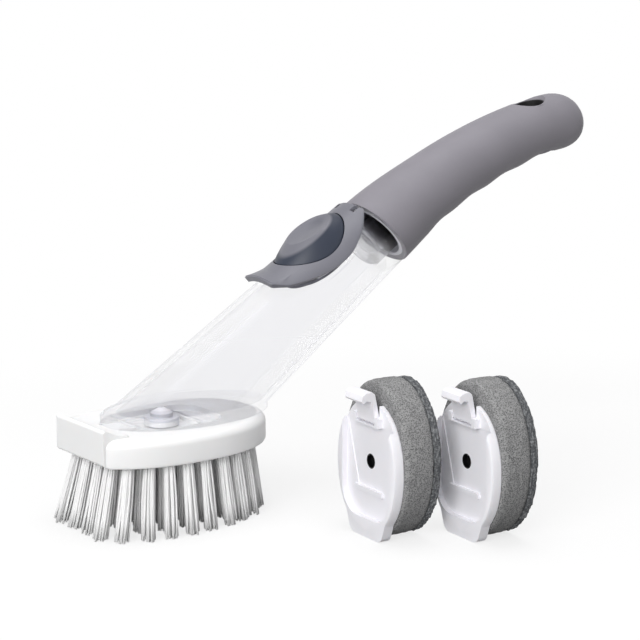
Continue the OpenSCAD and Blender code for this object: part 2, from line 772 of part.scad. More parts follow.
module brush_plate() {
    color([0.96, 0.96, 0.97])
    on_head() difference() {
        rounded_plate([[-plate_h, 1.3], [-plate_h + 0.4, 0.45], [-plate_h + 1.3, 0], [-edge_r, 0],
            [-0.62 * edge_r, 0.08 * edge_r], [-0.29 * edge_r, 0.29 * edge_r],
            [-0.08 * edge_r, 0.62 * edge_r], [0, edge_r]], head_a, head_b, 0, -toe_x, head_full);
        pocket_cut();
        translate([0, 0, -plate_h - 1]) cylinder(h = plate_h + 2, r = soap_hole_r, $fn = fine);
        tab_recess();
        root_bore();
        for (p = tuft_places())
            translate([p[0], p[1], -plate_h - 1])
                cylinder(h = tuft_depth + 1, r = tuft_r + 0.04, $fn = 24);
    }
}

// Room for the thumb lip, its apron and the stem
module tab_recess() {
    half = lip_w / 2 + tab_gap + 0.1;
    translate([-head_l, -half, -plate_h + 5]) cube([head_l + pad_x + 0.7, 2 * half, plate_h]);
    translate([-head_l, -half, -plate_h - 1]) cube([head_l - toe_x + 3.1, 2 * half, plate_h + 2]);
    translate([pad_x, -stem_w / 2 - tab_gap, -plate_h + 5])
        cube([root_x + root_r + 0.3 - pad_x, stem_w + 2 * tab_gap, plate_h]);
}

module root_bore() {
    translate([root_x, stem_w / 2 + 1.5, root_z]) rotate([90, 0, 0])
        cylinder(h = stem_w + 3, r = root_r + 0.08, $fn = 48);
}

// Round root of a release tab and its flat stem as far as x
module tab_root(x) {
    translate([root_x, stem_w / 2 + 1.3, root_z]) rotate([90, 0, 0])
        cylinder(h = stem_w + 2.6, r = root_r, $fn = 48);
    translate([x, -stem_w / 2, root_z - stem_t / 2]) cube([root_x - x, stem_w, stem_t]);
}

// Side profile of the thumb lip: a dished pad, a crest and an apron down the toe
module lip_profile() {
    under = root_z - stem_t / 2;
    back = pad_x + 0.4;
    dish = [for (i = [0 : 8]) let (u = i / 8)
        [back - 0.5 - u * (back - lip_x - 2), 0.7 - 0.7 * sin(180 * u) + u * (lip_h - 0.8)]];
    crest = [for (i = [1 : 6]) let (a = 90 + 15 * i)
        [lip_x + 1.3 + 1.3 * cos(a), lip_h - 1.2 + 1.3 * sin(a)]];
    polygon(concat([[back, under], [back, 0.3]], dish, crest,
        [[lip_x, -plate_h + 1.6], [lip_x + 0.5, -plate_h + 0.9], [lip_x + 1.6, -plate_h + 0.9],
         [lip_x + 1.6, under]]));
}

module brush_tab() {
    color([0.95, 0.95, 0.96])
    on_head() {
        tab_root(pad_x - 1);
        translate([0, lip_w / 2, 0]) rotate([90, 0, 0]) linear_extrude(lip_w) lip_profile();
    }
}

// Loop of points round an oval whose toe side is cut straight at x = toe
function toe_loop(a, b, toe) = [for (i = [0 : 180])
    let (p = ellipse_at(a, b, 2 * i)) [max(p[0], toe), p[1]]];
function sums(v, i = 0, s = 0) = i > len(v) ? []
    : concat([s], sums(v, i + 1, i < len(v) ? s + v[i] : s));
function row_places(row) = let (
        loop = toe_loop(head_a - margin_l - row * tuft_row, head_b - margin_w - row * tuft_row,
            -toe_x + margin_toe + row * tuft_row),
        walk = sums([for (i = [0 : 179]) norm(loop[i + 1] - loop[i])]),
        whole = walk[180],
        count = round(whole / tuft_pitch))
    [for (k = [0 : count - 1]) let (
            d = whole * (k + 0.5) / count,
            i = len([for (c = walk) if (c <= d) 1]) - 1)
        loop[i]];
function tuft_places() = [for (row = [0 : 2]) each row_places(row)];

function lean_at(p) = (tuft_lean + toe_lean * clip(-1.4 * p[0] / head_a, 0, 1))
    * norm([p[0] / head_a, p[1] / head_b]);

// Ring of a tuft's skin: centre c, radius r and height z
function tuft_ring(c, r, z) = [for (i = [0 : 11]) [c[0] + r * cos(30 * i), c[1] - r * sin(30 * i), z]];

// One tuft: a straight root in the plate and a flared, outward-leaning brush below it
module tuft(p) {
    tip = p * (1 + bristle_l * tan(lean_at(p)) / norm(p));
    loft([
        tuft_ring(tip, tuft_r + tuft_flare, 0),
        tuft_ring(p, tuft_r, bristle_l - 0.5),
        tuft_ring(p, tuft_r, bristle_l + tuft_depth - 1)]);
}

module outer_tufts() {
    color([0.93, 0.93, 0.94]) in_wand() for (p = row_places(0)) tuft(p);
}

module inner_tufts() {
    color([0.9, 0.9, 0.91]) in_wand() for (row = [1, 2], p = row_places(row)) tuft(p);
}

// Flat wire anchors above the tufts
module tuft_anchors() {
    h = 0.8;
    color("silver") in_wand() for (p = tuft_places())
        translate([p[0] - tuft_r * 0.9, p[1] - 0.2, bristle_l + tuft_depth - 1 + 0.05])
            cube([tuft_r * 1.8, 0.4, h]);
}

module spare_plate(copy) {
    slot = stem_w / 2 + tab_gap;
    block = slot + 2.2;
    heel_r = 4;
    color([0.9, 0.9, 0.94])
    on_spare(copy) difference() {
        union() {
            rounded_plate([[-spare_t, 0.3], [-spare_t + 0.4, 0], [-1.3, 0], [-0.4, 0.4], [0, 1.3]],
                spare_a, spare_w / 2, spare_mid, spare_toe, 2.1);
            hull() for (y = [-1, 1]) {
                translate([14, y * (heel_w / 2 + 3.4 - heel_r), -spare_t])
                    cylinder(h = spare_t - 0.4, r = heel_r, $fn = 32);
                translate([spare_heel - heel_r, y * (heel_w / 2 - heel_r), -spare_t])
                    cylinder(h = spare_t - 0.4, r = heel_r, $fn = 32);
            }
        }
        pocket_cut();
        translate([-60, -40, -pocket_depth]) cube([60 + rail_x, 80, 20]);
        for (side = [-1, 1]) translate([rail_x - 1, side > 0 ? block : -pocket_w / 2, -pocket_depth])
            cube([2 - pocket_toe - rail_x, pocket_w / 2 - block, 20]);
        translate([0, 0, -spare_t - 1]) cylinder(h = spare_t + 2, r = soap_hole_r, $fn = fine);
        translate([-60, -slot, -10]) cube([60 + root_x + root_r + 0.3, 2 * slot, 20]);
        root_bore();
    }
}

// Release tab of a spare head: a leaning stem with a beaked lip
module spare_tab(copy) {
    under = root_z - stem_t / 2;
    over = root_z + stem_t / 2;
    x = spare_lip_x;
    color([0.9, 0.9, 0.94])
    on_spare(copy) {
        tab_root(root_x - 1.6);
        translate([0, stem_w / 2, 0]) rotate([90, 0, 0]) linear_extrude(stem_w)
            polygon([[root_x - 1.5, under], [root_x - 1.5, over], [x + 3.2, 1], [x + 3, 2.8],
                [x + 3.8, 4.1], [x + 2.9, 4.9], [x + 1, 4.3], [x + 0.2, 2.8], [x, 0.5],
                [x + 0.9, -0.6]]);
    }
}

// Soft oval behind the plate, from z0 to z1
module sponge_oval(z0, z1, inset) {
    translate([sponge_shift, 0, z0]) linear_extrude(z1 - z0)
        polygon(ellipse(sponge_l / 2 - inset, sponge_w / 2 - inset));
}

module sponge(copy) {
    color([0.5, 0.52, 0.53])
    on_spare(copy) difference() {
        sponge_oval(-spare_t - foam_t, -spare_t, 0);
        translate([0, 0, -spare_t - well_depth]) cylinder(h = well_depth + 1, r = soap_hole_r + 0.2, $fn = 48);
    }
}

module scouring_pad(copy) {
    color([0.3, 0.31, 0.33])
    on_spare(copy) sponge_oval(-spare_t - foam_t - scour_t, -spare_t - foam_t, 0);
}

reservoir();
outlet_valve();
valve_retainer();
tank_end_plug();
plug_o_ring();
handle_core();
handle_grip();
filler_lid();
lid_gasket();
hinge_pin();
push_button();
button_spring();
pump_diaphragm();
diaphragm_ring();
brush_plate();
brush_tab();
outer_tufts();
inner_tufts();
tuft_anchors();
spare_plate(0);  // spare_plate_a
spare_tab(0);  // spare_tab_a
sponge(0);  // sponge_a
scouring_pad(0);  // scouring_pad_a
spare_plate(1);  // spare_plate_b
spare_tab(1);  // spare_tab_b
sponge(1);  // sponge_b
scouring_pad(1);  // scouring_pad_b
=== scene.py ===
"""Looks of a soap-dispensing dish wand, its clip-on brush head and two spare sponge heads.

Lengths are in metres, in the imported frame: +X runs from the brush head's toe to the handle's tip,
and +Z is up.
"""
import json
import logging
import math
import random
from dataclasses import dataclass, field
from enum import Enum

import bmesh
import bpy
from mathutils import Matrix, Vector, noise


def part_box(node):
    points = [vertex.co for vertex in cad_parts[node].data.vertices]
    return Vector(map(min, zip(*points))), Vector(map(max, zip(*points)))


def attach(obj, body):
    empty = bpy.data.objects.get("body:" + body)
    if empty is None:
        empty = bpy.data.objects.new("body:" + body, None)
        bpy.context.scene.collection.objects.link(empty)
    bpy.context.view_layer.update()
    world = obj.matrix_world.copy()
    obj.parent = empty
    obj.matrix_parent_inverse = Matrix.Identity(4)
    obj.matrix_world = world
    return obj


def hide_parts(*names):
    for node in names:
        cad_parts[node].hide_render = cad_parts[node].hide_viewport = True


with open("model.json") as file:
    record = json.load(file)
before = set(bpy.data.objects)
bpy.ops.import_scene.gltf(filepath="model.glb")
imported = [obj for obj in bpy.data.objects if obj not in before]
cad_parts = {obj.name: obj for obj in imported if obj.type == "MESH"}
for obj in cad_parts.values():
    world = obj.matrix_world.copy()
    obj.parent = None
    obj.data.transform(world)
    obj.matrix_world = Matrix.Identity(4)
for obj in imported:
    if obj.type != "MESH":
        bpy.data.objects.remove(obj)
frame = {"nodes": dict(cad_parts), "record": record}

MM = 0.001
WELD = 0.002 * MM
log = logging.getLogger("dish_wand")

Colour = tuple[float, float, float]
WHITE: Colour = (1.0, 1.0, 1.0)


def srgb(red: int, green: int, blue: int) -> Colour:
    """Turn a colour as a screen shows it, 0 to 255, into the linear numbers that shaders take.

    Args:
        red: Red part.
        green: Green part.
        blue: Blue part.

    Returns:
        The same colour, linear, 0 to 1.
    """
    channels = (channel / 255 for channel in (red, green, blue))
    return tuple(c / 12.92 if c <= 0.04045 else ((c + 0.055) / 1.055) ** 2.4 for c in channels)


def tint(colour: Colour, share: float) -> Colour:
    """The colour with each part times share, and no part above 1."""
    return tuple(min(part * share, 1) for part in colour)


def opaque(colour: Colour) -> tuple[float, float, float, float]:
    """The colour with a full alpha."""
    return (*colour, 1.0)


class Wire:
    """A shader socket that takes arithmetic; each expression adds its Math node."""

    def __init__(self, graph: "Graph", socket: bpy.types.NodeSocket) -> None:
        """Keep the graph and the output socket."""
        self.graph = graph
        self.socket = socket

    def _math(self, operation: str, *values: object) -> "Wire":
        """Add one Math node over the values."""
        made = self.graph.node("ShaderNodeMath", {"operation": operation}, dict(enumerate(values)))
        return Wire(self.graph, made.outputs[0])

    def __add__(self, other: object) -> "Wire":
        """Sum."""
        return self._math("ADD", self, other)

    def __radd__(self, other: object) -> "Wire":
        """Sum with a number on the left."""
        return self._math("ADD", other, self)

    def __sub__(self, other: object) -> "Wire":
        """Difference."""
        return self._math("SUBTRACT", self, other)

    def __rsub__(self, other: object) -> "Wire":
        """Difference with a number on the left."""
        return self._math("SUBTRACT", other, self)

    def __mul__(self, other: object) -> "Wire":
        """Product."""
        return self._math("MULTIPLY", self, other)

    def __rmul__(self, other: object) -> "Wire":
        """Product with a number on the left."""
        return self._math("MULTIPLY", other, self)

    def __pow__(self, other: object) -> "Wire":
        """Power."""
        return self._math("POWER", self, other)

    def step(self, low: float, high: float) -> "Wire":
        """Smooth step: 0 below low and 1 above high.

        Args:
            low: Value where the step starts.
            high: Value where the step ends.

        Returns:
            The stepped value.
        """
        sockets = {"Value": self, "From Min": low, "From Max": high}
        made = self.graph.node("ShaderNodeMapRange", {"interpolation_type": "SMOOTHSTEP"}, sockets)
        return Wire(self.graph, made.outputs[0])


class Graph:
    """A node tree under construction."""

    def __init__(self, tree: bpy.types.NodeTree) -> None:
        """Start from an empty tree."""
        self.tree = tree
        self.tree.nodes.clear()

    def node(self, kind: str, settings: dict | None = None,
             sockets: dict | None = None) -> bpy.types.Node:
        """Add any node.

        Args:
            kind: The node's type.
            settings: Properties, which are set first.
            sockets: Values or links by the input's name or number.

        Returns:
            The node.
        """
        made = self.tree.nodes.new(kind)
        for key, value in (settings or {}).items():
            setattr(made, key, value)
        for key, value in (sockets or {}).items():
            link = value.socket if isinstance(value, Wire) else value
            if isinstance(link, bpy.types.NodeSocket):
                self.tree.links.new(link, made.inputs[key])
            else:
                made.inputs[key].default_value = link
        return made

    def place(self, scale: Colour = (1.0, 1.0, 1.0)) -> Wire:
        """Object coordinates, stretched by scale."""
        coordinates = self.node("ShaderNodeTexCoord")
        mapping = self.node(
            "ShaderNodeMapping", {}, {"Vector": coordinates.outputs["Object"], "Scale": scale})
        return Wire(self, mapping.outputs[0])

    def noise(self, size: float, detail: float = 2.0, at: Wire | None = None) -> Wire:
        """Soft noise, 0 to 1, with features of the given size in metres.

        Args:
            size: Feature size.
            detail: Octaves.
            at: Coordinates, or None for the object's own.

        Returns:
            The noise value.
        """
        sockets = {"Vector": at or self.place(), "Scale": 1 / size, "Detail": detail}
        return Wire(self, self.node("ShaderNodeTexNoise", {}, sockets).outputs["Fac"])

    def cells(self, size: float) -> Wire:
        """Distance to the nearest of scattered points, with cells of the given size in metres."""
        cells = self.node("ShaderNodeTexVoronoi", {}, {"Vector": self.place(), "Scale": 1 / size})
        return Wire(self, cells.outputs["Distance"])

    def mix(self, share: Wire | float, first: object, second: object) -> Wire:
        """Blend two colours.

        Args:
            share: 0 gives the first and 1 the second.
            first: A linear colour or a link.
            second: A linear colour or a link.

        Returns:
            The mixed colour.
        """
        ends = [opaque(c) if isinstance(c, tuple) else c for c in (first, second)]
        made = self.node("ShaderNodeMix", {"data_type": "RGBA"}, {0: share, 6: ends[0], 7: ends[1]})
        return Wire(self, made.outputs[2])

    def vector(self, operation: str, *values: object) -> Wire:
        """Add one Vector Math node.

        Args:
            operation: Its operation.
            values: Vectors or links.

        Returns:
            Its vector, or its number for a dot product or a length.
        """
        made = self.node("ShaderNodeVectorMath", {"operation": operation}, dict(enumerate(values)))
        return Wire(self, made.outputs[1 if operation in ("DOT_PRODUCT", "LENGTH") else 0])

    def bump(self, height: Wire, depth: float, strength: float = 1.0) -> Wire:
        """Normal of a relief of the given depth in metres."""
        sockets = {"Height": height, "Distance": depth, "Strength": strength}
        return Wire(self, self.node("ShaderNodeBump", {}, sockets).outputs[0])

    def surface(self, shader: bpy.types.Node, output: str = "ShaderNodeOutputMaterial") -> None:
        """Join a shader to the tree's output."""
        self.node(output, {}, {"Surface": shader.outputs[0]})


# Painted shade in holes that look dark inside, by mount: radius of the painted shade, how far it
# reaches from the hole's middle, how soft its rim is and its near-black tone.
HOLE_SHADE_RADII = {"hanging_hole": 5.7 * MM, "spare_coupling_a": 2.6 * MM, "spare_coupling_b": 2.6 * MM}
HOLE_SHADE_REACH = 16 * MM
HOLE_SHADE_BLUR = 1.06
HOLE_SHADE_TONE = srgb(6, 6, 7)


def hole_shade_mask(graph: Graph) -> Wire:
    """1 inside the hanging hole and the spare heads' soap holes, where shade is painted near black,
    and else 0.
    """
    place = graph.place()
    total: Wire | None = None
    for mount in frame["record"]["mounts"]:
        if mount["name"] in HOLE_SHADE_RADII:
            radius = HOLE_SHADE_RADII[mount["name"]]
            axis = tuple(Vector(mount["axis"]).normalized())
            offset = graph.vector("SUBTRACT", place, tuple(mount["pos_m"]))
            away = graph.vector("LENGTH", graph.vector("CROSS_PRODUCT", offset, axis))
            near = 1 - graph.vector("LENGTH", offset).step(HOLE_SHADE_REACH, HOLE_SHADE_REACH + 1 * MM)
            inside = (1 - away.step(radius, radius * HOLE_SHADE_BLUR)) * near
            total = inside if total is None else total + inside
    return total


@dataclass(frozen=True)
class Coating:
    """A finish; each kind paints the Principled shader's sockets in its own way."""

    name: str
    colour: Colour

    def make(self) -> bpy.types.Material:
        """Build the material."""
        material = bpy.data.materials.new(self.name)
        material.use_nodes = True
        graph = Graph(material.node_tree)
        graph.surface(graph.node("ShaderNodeBsdfPrincipled", {}, self.paint(graph)))
        return material

    def paint(self, graph: Graph) -> dict:
        """The shader's sockets, by name."""
        raise NotImplementedError


@dataclass(frozen=True)
class TopLightFade:
    """A drift of colour along a direction, from one height above the origin to another, which
    paints light onto a part's top.
    """

    along: Colour
    low: float
    high: float
    tone: Colour


@dataclass(frozen=True)
class Moulded(Coating):
    """A moulded plastic or rubber with a fine spark-eroded grain."""

    roughness: float = 0.4
    grain: float = 0.25 * MM
    relief: float = 0.004 * MM
    mottle: float = 0.06
    sheen: float = 0.0
    subsurface: float = 0.0
    painted_hole_shade: bool = False
    painted_top_light: TopLightFade | None = None
    drift: float = 14 * MM
    wear: float = 3 * MM
    wear_depth: float = 0.16
    bleed: float = 1.5 * MM

    def paint(self, graph: Graph) -> dict:
        """Colour drift, painted shade in holes, painted light on a top, rubbed patches and the
        grain.
        """
        drift = graph.noise(self.drift, 3)
        rubbed = graph.noise(self.wear, 4)
        grain = graph.noise(self.grain, 2)
        dark, light = tint(self.colour, 1 - self.mottle), tint(self.colour, 1 + self.mottle)
        tone = graph.mix(drift.step(0.3, 0.7) * 0.7 + grain * 0.3, dark, light)
        # Painted light: above the given height the tone turns lighter, as on a top lit from above.
        if self.painted_top_light:
            height = graph.vector("DOT_PRODUCT", graph.place(), self.painted_top_light.along)
            tone = graph.mix(height.step(self.painted_top_light.low, self.painted_top_light.high), tone, self.painted_top_light.tone)
        # Painted shade: near black inside the hanging hole and the soap holes.
        if self.painted_hole_shade:
            tone = graph.mix(hole_shade_mask(graph), tone, HOLE_SHADE_TONE)
        return {
            "Base Color": tone,
            "Roughness": self.roughness + (rubbed - 0.5) * self.wear_depth,
            "Sheen Weight": self.sheen,
            "Sheen Roughness": 0.4,
            "Subsurface Weight": self.subsurface,
            "Subsurface Radius": (1.0, 0.8, 0.7),
            "Subsurface Scale": self.bleed,
            "IOR": 1.5,
            "Normal": graph.bump(grain + rubbed * 0.6, self.relief),
        }


@dataclass(frozen=True)
class Clear(Coating):
    """A clear moulded plastic that lets light through face on and thickens towards its edges."""

    roughness: float = 0.02
    ior: float = 1.49
    flow: float = 0.012 * MM
    face_on: float = 0.06
    edge_on: float = 1.0
    edge_power: float = 7.0
    haze: float = 9 * MM
    flow_spacing: float = 11 * MM

    def paint(self, graph: Graph) -> dict:
        """Flow lines along the tube and a few hazy spots."""
        haze = graph.noise(self.haze, 3)
        lines = graph.noise(self.flow_spacing, 1, graph.place((0.35, 1.0, 0.6)))
        weight = graph.node("ShaderNodeLayerWeight", {}, {"Blend": 0.5})
        edge = Wire(graph, weight.outputs["Facing"]) ** self.edge_power
        return {
            "Base Color": graph.mix(haze, tint(self.colour, 0.985), self.colour),
            "Roughness": self.roughness + haze.step(0.55, 0.8) * 0.03,
            "Transmission Weight": 1.0,
            "Alpha": self.face_on + edge * (self.edge_on - self.face_on),
            "IOR": self.ior,
            "Normal": graph.bump(lines, self.flow),
        }


@dataclass(frozen=True)
class Filament(Coating):
    """Milky white nylon bristle."""

    milk: float = 0.1
    drift: float = 0.5 * MM

    def paint(self, graph: Graph) -> dict:
        """Strand-to-strand drift of colour and gloss."""
        strand = graph.noise(self.drift, 1, graph.place((1.0, 1.0, 0.05)))
        return {
            "Base Color": graph.mix(strand.step(0.35, 0.65), tint(self.colour, 0.96), self.colour),
            "Roughness": 0.5 + strand * 0.15,
            "Transmission Weight": self.milk,
            "IOR": 1.53,
        }


@dataclass(frozen=True)
class OpenFoam(Coating):
    """Open-cell foam: a light web round pores, which are painted dark for the shade inside the
    cells.
    """

    pore_shade: Colour
    cell: float = 0.5 * MM
    small_share: float = 0.45
    depth: float = 0.16 * MM
    patch: float = 4 * MM
    speck: float = 0.35 * MM

    def paint(self, graph: Graph) -> dict:
        """Pores of two sizes with painted shade, broken up by fine specks so that no two look
        alike.
        """
        large = graph.cells(self.cell)
        small = graph.cells(self.cell * self.small_share)
        patch = graph.noise(self.patch, 4)
        speck = graph.noise(self.speck, 3)
        hole = (large * 0.6 + small * 0.4 + (speck - 0.5) * 0.7).step(0.22, 0.62)
        web = graph.mix(patch.step(0.3, 0.7), tint(self.colour, 0.9), self.colour)
        # Painted shade: the pores take the dark colour of the shade in the open cells.
        tone = graph.mix(1 - hole, web, self.pore_shade)
        return {
            # Painted shade: near black where the plate's soap hole shows the foam.
            "Base Color": graph.mix(hole_shade_mask(graph), tone, HOLE_SHADE_TONE),
            "Roughness": 0.93 - hole * 0.08,
            "Specular IOR Level": 0.15,
            "Normal": graph.bump(hole + speck * 0.5, self.depth, 0.8),
        }


@dataclass(frozen=True)
class Fibre(Coating):
    """Bonded scouring fibre."""

    glint: Colour
    strand: float = 0.7 * MM
    stretch: float = 0.22
    depth: float = 0.3 * MM

    def paint(self, graph: Graph) -> dict:
        """Crossing strands, with a painted highlight on their crests."""
        across = graph.noise(self.strand, 4, graph.place((1.0, self.stretch, 1.0)))
        upright = graph.noise(self.strand, 4, graph.place((1.0, 1.0, self.stretch)))
        crest = (across + upright).step(0.85, 1.25)
        return {
            # Painted highlight: the crests take the paler glint colour.
            "Base Color": graph.mix(crest, self.colour, self.glint),
            "Roughness": 0.9 - crest * 0.25,
            "Normal": graph.bump(crest + across, self.depth, 0.9),
        }


@dataclass(frozen=True)
class Steel(Coating):
    """Drawn stainless wire."""

    mark: float = 0.3 * MM
    relief: float = 0.004 * MM

    def paint(self, graph: Graph) -> dict:
        """Fine drawing marks."""
        marks = graph.noise(self.mark, 3)
        return {
            "Base Color": graph.mix(marks, tint(self.colour, 0.85), self.colour),
            "Metallic": 1.0,
            "Roughness": 0.22 + marks * 0.15,
            "Normal": graph.bump(marks, self.relief),
        }


class Finish(Enum):
    """The finishes of the set, by what they cover."""

    CLEAR = Clear("clear_plastic", srgb(128, 128, 152))
    FROSTED = Clear("frosted_plastic", srgb(240, 240, 248), 0.2, face_on=0.3)
    # The grip gets painted shade in its hanging hole.
    SOFT_GRIP = Moulded(
        "soft_grip", srgb(134, 131, 138), 0.62, 0.35 * MM, 0.008 * MM, 0.04, sheen=0.08, painted_hole_shade=True)
    LID = Moulded("lid_plastic", srgb(112, 112, 120), 0.42, 0.3 * MM, 0.004 * MM, 0.04)
    # Painted light: the button's top takes the lid's lighter grey, as if lit from above.
    BUTTON = Moulded(
        "button_plastic", srgb(38, 45, 60), 0.44, 0.3 * MM, 0.004 * MM, 0.05,
        painted_top_light=TopLightFade((-0.5592, 0.0, 0.829), 89.4 * MM, 90.4 * MM, srgb(112, 112, 120)))
    # Painted light: the core is pale so that the shaded mouth of the grip looks lighter.
    LIGHTENED_CORE = Moulded("core_plastic", srgb(222, 222, 228), 0.5)
    WHITE = Moulded(
        "white_plastic", srgb(246, 246, 246), 0.34, 0.4 * MM, 0.003 * MM, 0.012, subsurface=0.12)
    # The spare plates get painted shade in their soap holes.
    SPARE = Moulded(
        "spare_plastic", srgb(244, 243, 248), 0.36, 0.4 * MM, 0.003 * MM, 0.012,
        subsurface=0.1, painted_hole_shade=True)
    NYLON = Filament("nylon", srgb(255, 255, 255))
    SILICONE = Moulded("silicone", srgb(225, 225, 230), 0.45, subsurface=0.3)
    SEAL = Moulded("seal_rubber", srgb(38, 38, 40), 0.6)
    STEEL = Steel("steel", srgb(200, 200, 202))
    FOAM = OpenFoam("foam", srgb(162, 162, 162), srgb(92, 92, 94))
    SCOUR = Fibre("scouring_fibre", srgb(78, 80, 83), srgb(140, 142, 144))


class Palette:
    """Makes each finish's material once."""

    def __init__(self) -> None:
        """Start empty."""
        self._made: dict[Finish, bpy.types.Material] = {}

    def get(self, finish: Finish) -> bpy.types.Material:
        """The material of a finish."""
        if finish not in self._made:
            self._made[finish] = finish.value.make()
        return self._made[finish]


@dataclass
class Workshop:
    """What every sub-assembly needs: the palette and the ways to put a piece on the frame."""

    palette: Palette = field(default_factory=Palette)

    def dress(self, node: str, finish: Finish) -> bpy.types.Object:
        """Give a CAD node its material.

        Args:
            node: Node name.
            finish: Its finish.

        Returns:
            The node's object.
        """
        piece = frame["nodes"][node]
        piece.data.materials.clear()
        piece.data.materials.append(self.palette.get(finish))
        log.info("dressed %s", node)
        return piece

    def skin(self, name: str, node: str, finish: Finish, body: str, slot: str,
             angle: float = 30.0) -> bpy.types.Object:
        """Stand a welded, smooth-shaded copy in a CAD node's place.

        Args:
            name: Name of the new piece.
            node: Node it replaces.
            finish: Its finish.
            body: Body it rides on.
            slot: Record slot of its finish; handed on to mount, which does not use it.
            angle: Edges sharper than this many degrees stay sharp.

        Returns:
            The piece.
        """
        mesh = bmesh.new()
        mesh.from_mesh(frame["nodes"][node].data)
        bmesh.ops.remove_doubles(mesh, verts=mesh.verts, dist=WELD)
        limit = math.radians(angle)
        for face in mesh.faces:
            face.smooth = True
        for edge in mesh.edges:
            edge.smooth = len(edge.link_faces) == 2 and edge.calc_face_angle(0.0) < limit
        piece = self.mount(name, mesh, finish, body, slot)
        even = piece.modifiers.new("even_normals", "WEIGHTED_NORMAL")
        even.keep_sharp = True
        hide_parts(node)
        return piece

    def mount(self, name: str, mesh: bmesh.types.BMesh, finish: Finish, body: str,
              slot: str) -> bpy.types.Object:
        """Turn a bmesh into a piece that rides on a body.

        Args:
            name: Piece name.
            mesh: Finished shape, which is freed.
            finish: Its finish.
            body: Body it rides on.
            slot: Record slot of its finish; not used.

        Returns:
            The piece.
        """
        data = bpy.data.meshes.new(name)
        mesh.to_mesh(data)
        mesh.free()
        data.materials.append(self.palette.get(finish))
        piece = bpy.data.objects.new(name, data)
        bpy.context.scene.collection.objects.link(piece)
        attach(piece, body)
        log.info("made %s with %d faces", name, len(data.polygons))
        return piece


@dataclass
class Tank:
    """The clear reservoir with its foot, valve and end plug."""

    shop: Workshop

    def build(self) -> None:
        """Make and dress the tank's pieces."""
        self.shop.skin("tank_shell", "reservoir", Finish.CLEAR, "wand", "clear_plastic")
        self.shop.skin("end_plug", "tank_end_plug", Finish.FROSTED, "wand", "clear_plastic")
        self.shop.skin("slit_valve", "outlet_valve", Finish.SILICONE, "wand", "silicone")
        self.shop.skin("valve_ring", "valve_retainer", Finish.WHITE, "wand", "white_plastic")
        self.shop.skin("plug_seal", "plug_o_ring", Finish.SEAL, "wand", "seal_rubber")


@dataclass
class Handle:
    """The core and its soft overmould."""

    shop: Workshop

    def build(self) -> None:
        """Make and dress the handle's pieces."""
        self.shop.skin("soft_grip", "handle_grip", Finish.SOFT_GRIP, "wand", "soft_grip", 38)
        self.shop.skin("grip_core", "handle_core", Finish.LIGHTENED_CORE, "wand", "core_plastic", 38)


@dataclass
class Pump:
    """The filler lid, its hinge pin and the push button over the pump."""

    shop: Workshop

    def build(self) -> None:
        """Make and dress the lid's and the button's pieces."""
        self.shop.skin("saddle_lid", "filler_lid", Finish.LID, "lid", "grey_plastic", 32)
        self.shop.skin("lid_seal", "lid_gasket", Finish.SILICONE, "lid", "silicone")
        self.shop.skin("pump_ring", "diaphragm_ring", Finish.LID, "lid", "grey_plastic")
        self.shop.skin("hinge_wire", "hinge_pin", Finish.STEEL, "wand", "steel")
        self.shop.skin("thumb_button", "push_button", Finish.BUTTON, "button", "button_plastic", 24)
        self.shop.skin("return_spring", "button_spring", Finish.STEEL, "button", "steel", 60)
        self.shop.skin("pump_skin", "pump_diaphragm", Finish.SILICONE, "button", "silicone")


